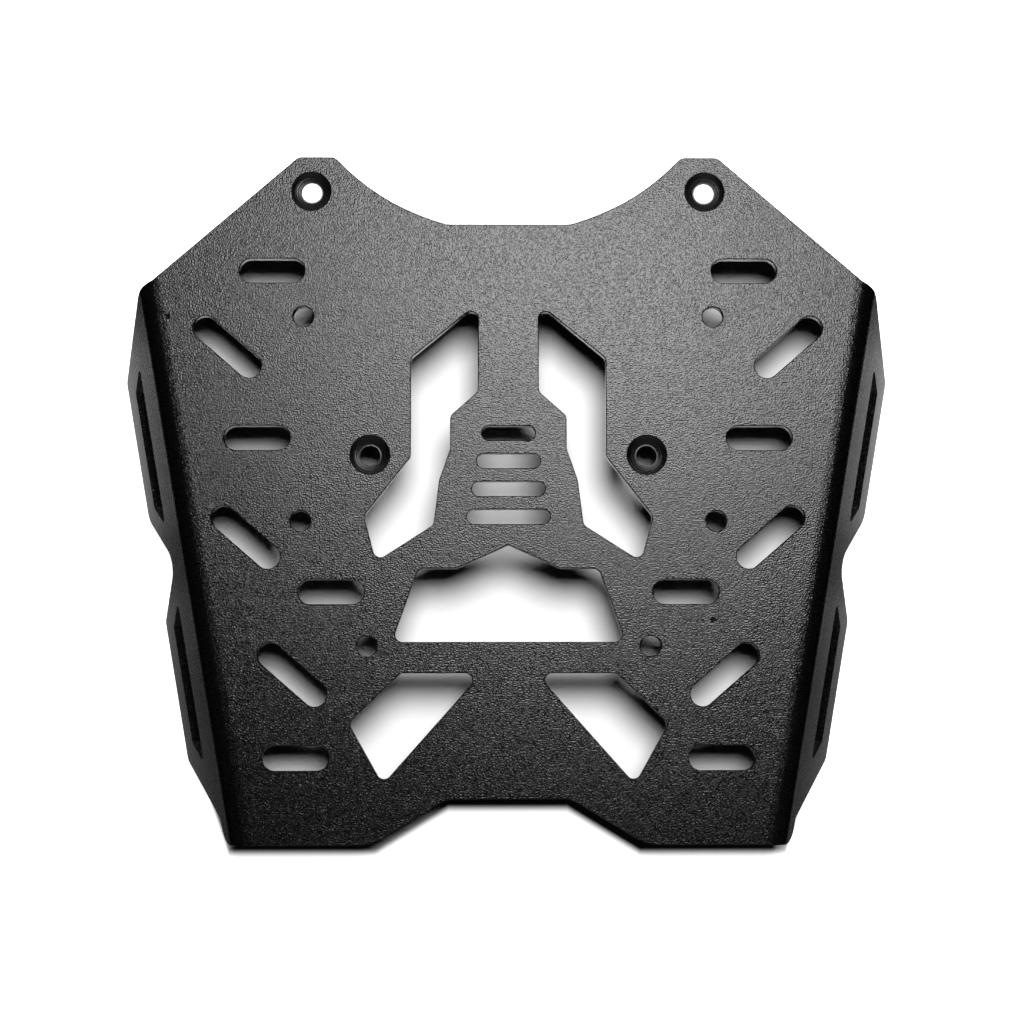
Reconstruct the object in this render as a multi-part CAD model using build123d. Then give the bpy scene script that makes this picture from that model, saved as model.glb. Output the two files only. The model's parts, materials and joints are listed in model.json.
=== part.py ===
from build123d import *
from math import cos, radians, sin, sqrt, tan
import os

# Motorcycle luggage rack: one sheet of aluminium, cut flat and folded down along both sides.
# X runs across the rack, +Y points to its front, Z is up.
# The origin lies in the middle of the footprint, on the ground that the folded tabs stand on.
# All lengths are in millimetres and all angles in degrees.

# Sheet and fold
sheet = 4.0
fold_inner_radius = 3.0
fold_angle = 65.0
fold_slant = 10.0
fold_half_width = 135.5
neutral_share = 0.4
edge_break = 0.4
fold_end_stations = 5
fold_end_overrun = 0.2

# Deck outline
deck_length = 283.0
ear_outer_x = 87.0
ear_side_angle = 41.0
ear_corner_radius = 4.0
front_cut_depth = 28.5
front_flat_half_width = 25.1
front_arc_radius = 97.0
front_corner_radius = 12.0
rear_notch_depth = 18.4
rear_notch_inner_x = 25.0
rear_notch_outer_x = 55.5
rear_notch_inner_radius = 8.0
rear_notch_outer_radius = 24.0

# Windows of the deck, as the corners of the right-hand one
window_radius = 3.0
rear_rib = 12.6
rear_web = 6.1
rear_window_shoulder = 24.4
main_window = [
    (12.5, 79.9),
    (12.5, 43.3),
    (23.9, 33.2),
    (23.9, 19.5),
    (28.4, 6.6),
    (30.7, -11.8),
    (54.1, -26.8),
    (59.0, -8.2),
    (40.0, 16.2),
    (40.0, 57.1),
]
centre_window_base = (47.4, -59.6)
centre_window_shoulder = (36.8, -29.7)
centre_window_eave = (21.2, -29.7)
centre_window_peak_y = -20.0
rear_window_inner_x = 11.1
rear_window_outer_x = 43.8
rear_window_shoulder_x = 64.8
rear_window_tip_x = 51.0

# Strap slots: the front ones are placed from the front edge of the ears, the rear ones from the rear edge
strap_slot_length = 27.0
strap_slot_width = 10.0
front_strap_slot = (97.5, 47.9)
middle_strap_slots = [(103.0, 24.0), (72.3, -39.2)]
rear_strap_slot = (86.3, 35.0)
corner_slot_length = 34.0
corner_slot_angle = 41.0
middle_corner_slots = [(115.6, 61.8), (107.2, -16.9)]
rear_corner_slot = (87.8, 68.6)

# Cooling slots of the centre web, which widen towards the rear
web_slot_width = 6.0
web_slot_front_y = 26.0
web_slot_pitch = 11.5
web_slot_front_length = 22.0
web_slot_growth = 4.0
web_slot_count = 4

# Holes: the front ones are placed from the front edge of the ears
accessory_hole = 8.4
front_accessory_hole = (84.4, 67.1)
middle_accessory_holes = [(85.0, -10.2), (57.7, -61.2)]
bolt_hole = 8.4
bolt_front_x = 81.5
bolt_front_inset = 14.5
bolt_rear_x = 56.75
bolt_rear_y = 17.0
recess_diameter = 16.0
recess_wall = 0.6
recess_seat = 0.6
recess_land = 0.6

# Folded tabs, measured along the fold line and across it from the mould line
tab_width = 41.2
tab_end_angle = 48.5
front_tab_run = 4.1
front_side_flat = 3.3
rear_tab_run = 12.0
rear_side_flat = 7.0
root_corner_radius = 8.0
tab_gap_centre = 25.1
tab_gap_apex = 16.6
tab_gap_radius = 7.5
tab_gap_corner_radius = 8.0
tab_corner_radius = 4.0
tab_slot_width = 10.0
tab_slot_offset = 20.7
tab_slot_end_margin = 16.2
tab_slot_gap_margin = 13.1
tab_slot_radius = 1.2

# Sizes worked out from the ones above
fold_outer_radius = fold_inner_radius + sheet
fold_setback = fold_outer_radius * tan(radians(fold_angle / 2))
front_tab_root = fold_setback + front_side_flat
rear_tab_root = fold_setback + rear_side_flat
tab_end_slant = 1 / tan(radians(tab_end_angle))
fold_length = radians(fold_angle) * (fold_inner_radius + neutral_share * sheet)
deck_top = tab_width * sin(radians(fold_angle)) + (sheet - edge_break) * cos(radians(fold_angle))
front_y = deck_length / 2
rear_y = -deck_length / 2
front_edge_y = front_y - front_cut_depth
front_arc_centre_y = front_edge_y + sqrt(front_arc_radius**2 - front_flat_half_width**2)
bolt_front_y = front_y - bolt_front_inset
rear_notch_y = rear_y + rear_notch_depth
rearward = Vector(-sin(radians(fold_slant)), -cos(radians(fold_slant)), 0)
outward = Vector(cos(radians(fold_slant)), -sin(radians(fold_slant)), 0)
mould_origin = Vector(fold_half_width, 0, deck_top)


def rounded_face(corners):
    """A flat face from a list of corners, each with its own radius."""
    face = make_face(Polyline([(x, y, 0) for x, y, _ in corners], close=True))
    for x, y, radius in corners:
        if radius > 0:
            corner = face.vertices().sort_by_distance((x, y, 0))[0]
            face = fillet(corner, radius)
    return face


def along_fold(x, y):
    """Place of a deck point: how far rearward along the mould line, and how far outward of it."""
    offset = Vector(x - fold_half_width, y, 0)
    return offset.dot(rearward), offset.dot(outward)


def fold_crossing(x, y, dx, dy):
    """Where a line on the deck, through a point and in a direction, reaches the start of the fold."""
    _, distance = along_fold(x, y)
    step = (-fold_setback - distance) / Vector(dx, dy, 0).dot(outward)
    return x + step * dx, y + step * dy


side_x = cos(radians(ear_side_angle))
side_y = -sin(radians(ear_side_angle))
fold_front = fold_crossing(ear_outer_x, front_y, side_x, side_y)
fold_rear = fold_crossing(0, rear_y, 1, 0)
fold_front_run = along_fold(*fold_front)[0]
fold_rear_run = along_fold(*fold_rear)[0]


def from_front(place):
    """A deck point from its distance across and its distance behind the front edge of the ears."""
    return place[0], front_y - place[1]


def from_rear(place):
    """A deck point from its distance across and its distance in front of the rear edge."""
    return place[0], rear_y + place[1]


strap_slots = [from_front(front_strap_slot), *middle_strap_slots, from_rear(rear_strap_slot)]
corner_slots = [*middle_corner_slots, from_rear(rear_corner_slot)]
accessory_holes = [from_front(front_accessory_hole), *middle_accessory_holes]
rear_window_top_y = centre_window_base[1] - rear_rib
rear_window_tip_y = rear_notch_y + rear_web
rear_window = [
    (rear_window_inner_x, rear_window_top_y),
    (rear_window_outer_x, rear_window_top_y),
    (rear_window_shoulder_x, rear_window_tip_y + rear_window_shoulder),
    (rear_window_tip_x, rear_window_tip_y),
]


def deck_outline():
    """The flat deck between both folds, with its front arc and rear notch."""
    right = [
        (ear_outer_x, front_y, ear_corner_radius),
        (*fold_front, 0),
        (*fold_rear, 0),
        (rear_notch_outer_x, rear_y, rear_notch_outer_radius),
        (rear_notch_inner_x, rear_notch_y, rear_notch_inner_radius),
    ]
    left = [(-x, y, radius) for x, y, radius in reversed(right)]
    arc = Pos(0, front_arc_centre_y) * Circle(front_arc_radius)
    below = Pos(0, front_edge_y - front_arc_radius) * Rectangle(4 * front_arc_radius, 2 * front_arc_radius)
    outline = rounded_face(right + left) - (arc - below)
    for y, radius in ((front_y, ear_corner_radius), (front_edge_y, front_corner_radius)):
        x = sqrt(front_arc_radius**2 - (front_arc_centre_y - y) ** 2)
        for place in ((x, y, 0), (-x, y, 0)):
            corner = outline.vertices().sort_by_distance(place)[0]
            outline = fillet(corner, radius)
    return outline


def deck_cutouts():
    """Windows, strap slots, cooling slots and plain holes of the deck, as one flat sketch."""
    cuts = Sketch()
    for side in (1, -1):
        for window in (main_window, rear_window):
            cuts += rounded_face([(side * x, y, window_radius) for x, y in window])
        for x, y in strap_slots:
            cuts += Pos(side * x, y) * SlotOverall(strap_slot_length, strap_slot_width)
        for x, y in corner_slots:
            turn = Rot(0, 0, side * corner_slot_angle)
            cuts += Pos(side * x, y) * turn * SlotOverall(corner_slot_length, strap_slot_width)
        for x, y in accessory_holes:
            cuts += Pos(side * x, y) * Circle(accessory_hole / 2)
    half = [centre_window_base, centre_window_shoulder, centre_window_eave]
    roof = [(x, y, window_radius) for x, y in half[:2]] + [(*half[2], 0)]
    peak = [(0, centre_window_peak_y, 0)]
    cuts += rounded_face(roof + peak + [(-x, y, radius) for x, y, radius in reversed(roof)])
    for index in range(web_slot_count):
        length = web_slot_front_length + index * web_slot_growth
        cuts += Pos(0, web_slot_front_y - index * web_slot_pitch) * SlotOverall(length, web_slot_width)
    return cuts


def recess():
    """The turned recess of one bolt hole, with a short wall, a cone and a flat seat."""
    bore = bolt_hole / 2
    mouth = recess_diameter / 2
    seat = bore + recess_seat
    above = sheet
    profile = Polyline(
        (0, above),
        (mouth, above),
        (mouth, -recess_wall),
        (seat, -(sheet - recess_land)),
        (bore, -(sheet - recess_land)),
        (bore, -2 * sheet),
        (0, -2 * sheet),
        close=True,
    )
    return revolve(Plane.XZ * make_face(profile), Axis.Z)


def broken_edges(plate, seams):
    """A flat plate with the edges of its show face and its outline broken, but for the seams of the fold."""
    faces = plate.faces().sort_by(Axis.Z)
    edges = faces[-1].edges() + faces[0].outer_wire().edges()
    kept = [edge for edge in edges
            if all((edge @ 0.5 - seam @ 0.5).length > sheet + edge_break for seam in seams)]
    return chamfer(kept, edge_break)


def deck_plate():
    """The deck with its cut-outs and broken edges."""
    face = deck_outline() - deck_cutouts()
    plate = Pos(0, 0, deck_top - sheet) * extrude(face, sheet)
    for side in (1, -1):
        for x, y in ((bolt_front_x, bolt_front_y), (bolt_rear_x, bolt_rear_y)):
            plate -= Pos(side * x, y, deck_top) * recess()
    ends = (Vector(*fold_front, deck_top), Vector(*fold_rear, deck_top))
    seams = [Line(Vector(side * a.X, a.Y, a.Z), Vector(side * b.X, b.Y, b.Z))
             for side in (1, -1) for a, b in [ends]]
    return broken_edges(plate, seams)


def blank_front(run):
    """Front end of the flat blank beside the deck, at a run outward from the start of the fold."""
    return fold_front_run + front_tab_run * run / (fold_length + front_side_flat)


def blank_rear(run):
    """Rear end of the flat blank there, which carries on the straight rear edge of the deck."""
    return fold_rear_run - run * tan(radians(fold_slant))


def fold_piece():
    """The folded strip: a turned section along the fold, with its two ends as cut on the blank."""
    axis = mould_origin - outward * fold_setback - Vector(0, 0, fold_outer_radius)
    reach = 2 * fold_outer_radius
    turn = radians(fold_angle)
    ring = Circle(fold_outer_radius) - Circle(fold_inner_radius)
    corners = [(0, 0), (0, reach), (reach * tan(turn / 2), reach), (reach * sin(turn), reach * cos(turn))]
    section = ring & make_face(Polyline(corners, close=True))
    front, rear = blank_front(0), blank_rear(0)
    start = Plane(axis + rearward * (front - reach), x_dir=outward, z_dir=rearward)
    strip = extrude(start * section, rear - front + 2 * reach)
    middle = (fold_inner_radius + fold_outer_radius) / 2
    sections = []
    for station in range(fold_end_stations):
        share = (1 + 2 * fold_end_overrun) * station / (fold_end_stations - 1) - fold_end_overrun
        radial = outward * sin(share * turn) + Vector(0, 0, cos(share * turn))
        front, rear = blank_front(share * fold_length), blank_rear(share * fold_length)
        plane = Plane(axis + rearward * front, x_dir=rearward, z_dir=rearward.cross(radial))
        box = Pos((rear - front) / 2, middle) * Rectangle(rear - front, 3 * sheet)
        sections.append(plane * box)
    strip &= loft(sections)
    arcs = [edge for edge in strip.edges() if (edge % 0).dot(edge % 1) < 0.9]
    return chamfer(arcs, edge_break)


def front_tab_end(depth):
    """Slanted front end of the front tab, at a distance across from the mould line."""
    return fold_front_run + front_tab_run + (depth - front_tab_root) * tab_end_slant


def rear_tab_end(depth):
    """Slanted rear end of the rear tab there."""
    return fold_rear_run - rear_tab_run - (depth - rear_tab_root) * tab_end_slant


def tab_gap_half(depth):
    """Half the width of the gap between the tabs there."""
    return (depth - tab_gap_apex) * tab_end_slant


def tab_slot_corners():
    """Corners of both tab slots, whose ends slope as the ends of their tab do."""
    near = tab_slot_offset
    far = near + tab_slot_width
    narrowing = tab_slot_width * tab_end_slant
    slots = []
    for start, end in (
        (front_tab_end(near) + tab_slot_end_margin, tab_gap_centre - tab_gap_half(near) - tab_slot_gap_margin),
        (tab_gap_centre + tab_gap_half(near) + tab_slot_gap_margin, rear_tab_end(near) - tab_slot_end_margin),
    ):
        slots.append([(start, near), (end, near), (end - narrowing, far), (start + narrowing, far)])
    return slots


def tab_plate():
    """The flat flange below the fold: two tabs, the gap between them and their strap slots."""
    gap_front = tab_gap_centre - tab_gap_half(tab_width)
    gap_rear = tab_gap_centre + tab_gap_half(tab_width)
    side_run = fold_length + rear_side_flat
    corners = [
        (blank_front(fold_length), fold_setback, 0),
        (front_tab_end(front_tab_root), front_tab_root, root_corner_radius),
        (front_tab_end(tab_width), tab_width, tab_corner_radius),
        (gap_front, tab_width, tab_gap_corner_radius),
        (tab_gap_centre, tab_gap_apex, tab_gap_radius),
        (gap_rear, tab_width, tab_corner_radius),
        (rear_tab_end(tab_width), tab_width, tab_corner_radius),
        (rear_tab_end(rear_tab_root), rear_tab_root, 0),
        (blank_rear(side_run), rear_tab_root, root_corner_radius),
        (blank_rear(fold_length), fold_setback, 0),
    ]
    face = rounded_face(corners)
    for corners in tab_slot_corners():
        face -= rounded_face([(run, depth, tab_slot_radius) for run, depth in corners])
    seam = Line((blank_front(fold_length), fold_setback, 0), (blank_rear(fold_length), fold_setback, 0))
    plate = broken_edges(extrude(face, -sheet), [seam])
    facing = outward * sin(radians(fold_angle)) + Vector(0, 0, cos(radians(fold_angle)))
    return Plane(mould_origin, x_dir=rearward, z_dir=facing).location * plate


def rack_plate():
    """The whole rack as one folded sheet."""
    side = fold_piece() + tab_plate()
    return deck_plate() + side + mirror(side, about=Plane.YZ)


rack = rack_plate()
rack.label = "rack_plate"

if __name__ == "__main__":
    os.makedirs("parts", exist_ok=True)
    export_step(rack, "parts/rack_plate.step")
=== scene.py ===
import bpy
import json
from math import cos, pi, radians, sin
from mathutils import Euler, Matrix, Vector


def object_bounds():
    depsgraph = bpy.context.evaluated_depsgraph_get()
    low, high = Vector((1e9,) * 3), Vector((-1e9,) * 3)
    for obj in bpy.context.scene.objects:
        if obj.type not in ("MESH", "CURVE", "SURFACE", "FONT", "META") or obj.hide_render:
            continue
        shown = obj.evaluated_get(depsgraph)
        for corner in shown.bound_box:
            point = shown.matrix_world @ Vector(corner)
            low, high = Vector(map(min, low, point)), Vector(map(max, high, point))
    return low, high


# The motorcycle luggage rack, dressed for its photograph.
# Lengths are in metres unless a name ends in _mm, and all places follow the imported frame.
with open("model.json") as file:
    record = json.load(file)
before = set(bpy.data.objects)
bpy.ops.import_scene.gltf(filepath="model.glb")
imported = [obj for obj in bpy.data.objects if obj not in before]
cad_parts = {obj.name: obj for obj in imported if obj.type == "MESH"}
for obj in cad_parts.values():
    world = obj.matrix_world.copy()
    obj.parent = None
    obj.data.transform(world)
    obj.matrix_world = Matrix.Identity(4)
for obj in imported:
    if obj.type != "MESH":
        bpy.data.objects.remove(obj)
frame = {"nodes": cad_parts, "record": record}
cad_low, cad_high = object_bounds()
deck_top = cad_high.z
mounts = {mount["name"]: mount for mount in frame["record"]["mounts"]}
mm_per_m = 1000.0

# Camera, as the photograph was taken
camera_lens = 78.3
camera_sensor = 36.0
camera_place = Vector((-0.0121, -0.1001, deck_top + 0.905))
camera_tilt = 5.90
camera_lean = -0.85
camera_near_clip = 0.01

# Lamps: the softbox gives the highlight on the coat, the key gives the shadows on the floor
softbox_place = Vector((0.080, 0.313, deck_top + 1.0))
softbox_size = 0.62
softbox_depth = 0.42
softbox_watts = 7.3
key_place = Vector((0.074, 0.266, deck_top + 1.25))
key_size = 0.555
key_watts = 19.6

# Room: how bright it is at least, and its front and rear walls in reflections
room_level = 0.002
wall_level = 0.4

# Floor: what it shows to the camera and to diffuse light, and a painted reflection for the coat: in
# reflections the floor near the rack is painted up to 2.2 times brighter than white, fading with distance,
# with painted shade towards the rear and the left
floor_size = 20.0
floor_shown = 1.0
floor_bounce = 0.6
floor_painted_reflection = 2.2
floor_reach_mm = 165.0
floor_falloff = 4.0
left_shade = 0.85
rear_shade = 0.28
shade_start_mm = 80.0
shade_end_mm = -80.0

# Painted white surround: a glow on the floor, seen only by the camera, rises from 2.6 to 7 mm outside the
# rack's outline and paints out the rack's shadow beyond that
shadow_wipe_start_mm = 2.6
shadow_wipe_end_mm = 7.0

# Lines round the right half of that outline: x and y of a point, the angle outwards, the sharpness
outline_lines = [
    (148.2, 0.0, -10.0, 3.0),
    (159.4, 62.4, 13.6, 3.0),
    (87.0, 141.5, 49.0, 1.0),
    (0.0, 126.0, 90.0, 1.0),
    (128.5, -105.0, -19.0, 2.0),
]
notch_depth_mm = 18.4
notch_inner_mm = 25.0
notch_outer_mm = 55.5
tab_gap_y_mm = -25.1
tab_gap_depth_mm = 5.0
tab_gap_inner_mm = 8.0
tab_gap_outer_mm = 20.0

# Powder coat: its colour and gloss, and the fine grain of both
coat_dark = (0.0, 0.0, 0.0, 1.0)
coat_light = (0.003, 0.003, 0.003, 1.0)
coat_specular = 0.50
grain_per_mm = 1.7
grain_height_mm = 0.115
grain_low = 0.36
grain_high = 0.64
speckle_per_mm = 2.1
speckle_low = 0.3
speckle_high = 0.7
smooth_roughness = 0.13
rough_roughness = 0.30

# Soft roll of the face before the fold
fold_start_mm = 127.5
fold_run_mm = 11.0
fold_drop_mm = 0.85
fold_slant = 10.0

# Small chips in the coat
nicks = [(-140.2, 74.3), (131.7, -37.5), (120.3, -87.1), (83.4, -50.6)]
nick_radius_mm = 1.2
nick_depth_mm = 0.5

# Turned bolt recesses
recess_radius_mm = 8.0
recess_black = (0.002, 0.002, 0.002, 1.0)
recess_roughness = 0.27
cone_inner_mm = 4.9
cone_outer_mm = 6.7
cone_relief_mm = 1.0
ring_pitch_mm = 0.8
ring_height_mm = 0.03


def add(tree, kind, inputs=(), **settings):
    """A new shader node with its settings and inputs; a socket given as an input is linked."""
    node = tree.nodes.new("ShaderNode" + kind)
    for name, value in settings.items():
        setattr(node, name, value)
    for key, value in dict(inputs).items():
        if isinstance(value, bpy.types.NodeSocket):
            tree.links.new(value, node.inputs[key])
        else:
            node.inputs[key].default_value = value
    return node


def math(tree, operation, first, second=0.0, third=0.0):
    """The result of a sum on numbers."""
    return add(tree, "Math", {0: first, 1: second, 2: third}, operation=operation).outputs[0]


def product(tree, result, *factors):
    """The product of several numbers."""
    for factor in factors:
        result = math(tree, "MULTIPLY", result, factor)
    return result


def map_range(tree, value, start, end, first, last, shape="LINEAR"):
    """A number that goes from first to last while the value goes from start to end."""
    inputs = {0: value, 1: start, 2: end, 3: first, 4: last}
    return add(tree, "MapRange", inputs, interpolation_type=shape).outputs[0]


def mix(tree, share, first, second):
    """A number between two numbers."""
    return add(tree, "Mix", {0: share, 2: first, 3: second}, data_type="FLOAT").outputs[0]


def blend(tree, share, first, second):
    """A colour between two colours."""
    return add(tree, "Mix", {0: share, 6: first, 7: second}, data_type="RGBA").outputs[2]


def noise(tree, place, scale):
    """Smooth noise without finer detail."""
    return add(tree, "TexNoise", {"Vector": place, "Scale": scale, "Detail": 0.0}).outputs[0]


def separate(tree, vector):
    """The three parts of a vector."""
    return add(tree, "SeparateXYZ", {0: vector}).outputs


def distance_from(tree, place, point):
    """Distance of a place from a point."""
    return add(tree, "VectorMath", {0: place, 1: point}, operation="DISTANCE").outputs["Value"]


def new_material(name):
    """An empty node material with its output, as (material, tree, output)."""
    material = bpy.data.materials.new(name)
    material.use_nodes = True
    tree = material.node_tree
    tree.nodes.clear()
    return material, tree, add(tree, "OutputMaterial")


def surface_place(tree):
    """The surface point in millimetres, and the same with the left half laid over the right half."""
    place = add(tree, "TexCoord").outputs["Object"]
    place = add(tree, "VectorMath", {0: place, "Scale": mm_per_m}, operation="SCALE").outputs[0]
    across, along, _ = separate(tree, place)
    folded = add(tree, "CombineXYZ", {"X": math(tree, "ABSOLUTE", across), "Y": along}).outputs[0]
    return place, folded


def recess_distance(tree, folded):
    """Distance in millimetres from the middle of the nearest bolt recess, seen from above."""
    distances = []
    for name in ("front_bolts", "rear_bolts"):
        mount = mounts[name]
        centre = (mount["dims"]["spacing_x_mm"] / 2, mm_per_m * mount["pos_m"][1], 0.0)
        distances.append(distance_from(tree, folded, centre))
    return math(tree, "MINIMUM", *distances)


def recess_height(tree, distance):
    """Height in millimetres of the turned rings on the recess, and of its cone."""
    rings = math(tree, "SINE", math(tree, "MULTIPLY", distance, 2 * pi / ring_pitch_mm))
    cone = map_range(tree, distance, cone_inner_mm, cone_outer_mm, cone_relief_mm, 0.0)
    return math(tree, "MULTIPLY_ADD", rings, ring_height_mm, cone)


def fold_roll(tree, folded):
    """Depth in millimetres by which the face rolls over before the fold."""
    across, along, _ = separate(tree, folded)
    sideways = math(tree, "MULTIPLY", math(tree, "SUBTRACT", across, fold_start_mm), cos(radians(fold_slant)))
    passed = math(tree, "SUBTRACT", sideways, math(tree, "MULTIPLY", along, sin(radians(fold_slant))))
    return map_range(tree, passed, 0.0, fold_run_mm, 0.0, fold_drop_mm, "SMOOTHSTEP")


def nick_pits(tree, place):
    """Depth in millimetres of the small chips in the coat."""
    depth = 0.0
    for x, y in nicks:
        distance = distance_from(tree, place, (x, y, mm_per_m * deck_top))
        depth = math(tree, "ADD", depth, map_range(tree, distance, 0.0, nick_radius_mm, nick_depth_mm, 0.0))
    return depth


def powder_coat():
    """Fine-textured black powder coat, bare of texture in the turned bolt recesses."""
    material, tree, output = new_material("powder_coat_textured")
    place, folded = surface_place(tree)
    distance = recess_distance(tree, folded)
    recess = math(tree, "LESS_THAN", distance, recess_radius_mm)
    grain = noise(tree, place, grain_per_mm)
    speckle = noise(tree, place, speckle_per_mm)
    tone = map_range(tree, grain, grain_low, grain_high, 0.0, 1.0)
    colour = blend(tree, recess, blend(tree, tone, coat_dark, coat_light), recess_black)
    rough = map_range(tree, speckle, speckle_low, speckle_high, smooth_roughness, rough_roughness)
    rough = mix(tree, recess, rough, recess_roughness)
    coated = math(tree, "MULTIPLY", grain, grain_height_mm)
    coated = math(tree, "SUBTRACT", coated, fold_roll(tree, folded))
    coated = math(tree, "SUBTRACT", coated, nick_pits(tree, place))
    height = mix(tree, recess, coated, recess_height(tree, distance))
    bump = add(tree, "Bump", {"Strength": 1.0, "Distance": 1 / mm_per_m, "Height": height}).outputs[0]
    shader = add(tree, "BsdfPrincipled", {"Base Color": colour, "Roughness": rough, "Normal": bump})
    shader.inputs["Specular IOR Level"].default_value = coat_specular
    tree.links.new(shader.outputs[0], output.inputs[0])
    return material


def beyond_rack(tree, folded):
    """Distance in millimetres of a floor point outside the rack's outline."""
    across, along, _ = separate(tree, folded)
    rear = math(tree, "SUBTRACT", mm_per_m * cad_low.y, along)
    notch = map_range(tree, across, notch_inner_mm, notch_outer_mm, notch_depth_mm, 0.0)
    beyond = math(tree, "ADD", rear, notch)
    from_gap = math(tree, "ABSOLUTE", math(tree, "SUBTRACT", along, tab_gap_y_mm))
    gap = map_range(tree, from_gap, tab_gap_inner_mm, tab_gap_outer_mm, tab_gap_depth_mm, 0.0)
    across = math(tree, "ADD", across, gap)
    for x, y, angle, sharpness in outline_lines:
        sideways = math(tree, "MULTIPLY", math(tree, "SUBTRACT", across, x), sharpness * cos(radians(angle)))
        lengthways = math(tree, "MULTIPLY", math(tree, "SUBTRACT", along, y), sharpness * sin(radians(angle)))
        beyond = math(tree, "MAXIMUM", beyond, math(tree, "ADD", sideways, lengthways))
    return beyond


def floor_paint():
    """Pale floor, white to the camera. In reflections near the rack it is a painted reflection brighter than
    white, with painted shade towards the rear and left. A camera-only glow paints it white from a few
    millimetres outside the rack's outline, wiping out the rack's shadow there.
    """
    material, tree, output = new_material("floor_paint")
    rays = add(tree, "LightPath").outputs
    place, folded = surface_place(tree)
    across, along, _ = separate(tree, place)
    beyond = beyond_rack(tree, folded)
    # Painted reflection: in reflections the floor near the rack is painted brighter than white, fading with
    # distance and darker towards the rear and the left. After a diffuse bounce it shows black in reflections,
    # which darkens the shade under the rack.
    near = math(tree, "POWER", map_range(tree, beyond, 0.0, floor_reach_mm, 1.0, 0.0), floor_falloff)
    unbounced = math(tree, "LESS_THAN", rays["Diffuse Depth"], 0.5)
    rearward = map_range(tree, along, shade_end_mm, shade_start_mm, rear_shade, 1.0)
    leftward = map_range(tree, across, mm_per_m * cad_low.x, mm_per_m * cad_high.x, left_shade, 1.0)
    near = product(tree, near, floor_painted_reflection, unbounced, rearward, leftward)
    mirrored = math(tree, "MAXIMUM", rays["Is Glossy Ray"], rays["Is Transmission Ray"])
    level = mix(tree, rays["Is Camera Ray"], mix(tree, mirrored, floor_bounce, near), floor_shown)
    paint = add(tree, "BsdfDiffuse", {"Color": level})
    # Painted light: a glow seen only by the camera whitens the floor outside the rack's outline and wipes out
    # the rack's shadow there.
    clear = map_range(tree, beyond, shadow_wipe_start_mm, shadow_wipe_end_mm, 0.0, 1.0, "SMOOTHSTEP")
    painted_white_glow = add(tree, "Emission", {"Strength": math(tree, "MULTIPLY", clear, rays["Is Camera Ray"])})
    shader = add(tree, "AddShader", {0: paint.outputs[0], 1: painted_white_glow.outputs[0]})
    tree.links.new(shader.outputs[0], output.inputs[0])
    return material


def floor():
    """The floor under the rack."""
    half = floor_size / 2
    ground = cad_low.z
    corners = [(-half, -half, ground), (half, -half, ground), (half, half, ground), (-half, half, ground)]
    mesh = bpy.data.meshes.new("floor")
    mesh.from_pydata(corners, [], [(0, 1, 2, 3)])
    mesh.materials.append(floor_paint())
    plane = bpy.data.objects.new("floor", mesh)
    bpy.context.scene.collection.objects.link(plane)


def lamp(name, place, size, depth, watts):
    """A soft oval light that points at the middle of the deck."""
    data = bpy.data.lights.new(name, "AREA")
    data.shape = "ELLIPSE"
    data.size = size
    data.size_y = depth
    data.energy = watts
    light = bpy.data.objects.new(name, data)
    light.location = place
    light.rotation_euler = (Vector((0, 0, deck_top)) - place).to_track_quat("-Z", "Y").to_euler()
    bpy.context.scene.collection.objects.link(light)
    return light


def lamps():
    """The lamp that the coat mirrors, and the lamp that casts the shadows."""
    softbox = lamp("softbox", softbox_place, softbox_size, softbox_depth, softbox_watts)
    softbox.visible_diffuse = False
    key = lamp("key", key_place, key_size, key_size, key_watts)
    key.visible_glossy = False


def room():
    """The dim room round the rack, white to the camera."""
    world = bpy.data.worlds.new("room")
    world.use_nodes = True
    tree = world.node_tree
    background = tree.nodes["Background"]
    background.inputs["Color"].default_value = (1.0, 1.0, 1.0, 1.0)
    rays = add(tree, "LightPath").outputs
    _, along, _ = separate(tree, add(tree, "TexCoord").outputs["Generated"])
    walls = product(tree, along, along, wall_level, rays["Is Glossy Ray"])
    level = math(tree, "MAXIMUM", math(tree, "MAXIMUM", walls, room_level), rays["Is Camera Ray"])
    tree.links.new(level, background.inputs["Strength"])
    bpy.context.scene.world = world


def camera():
    """The camera of the photograph."""
    data = bpy.data.cameras.new("camera")
    data.lens = camera_lens
    data.sensor_width = camera_sensor
    data.clip_start = camera_near_clip
    view = bpy.data.objects.new("camera", data)
    view.location = camera_place
    view.rotation_mode = "ZYX"
    view.rotation_euler = Euler((radians(camera_tilt), radians(camera_lean), 0.0), "ZYX")
    bpy.context.scene.collection.objects.link(view)
    bpy.context.scene.camera = view


camera()
lamps()
room()
floor()
coat = powder_coat()
for node in frame["nodes"].values():
    for slot in node.material_slots:
        slot.material = coat

bpy.context.scene.view_settings.view_transform = "Standard"
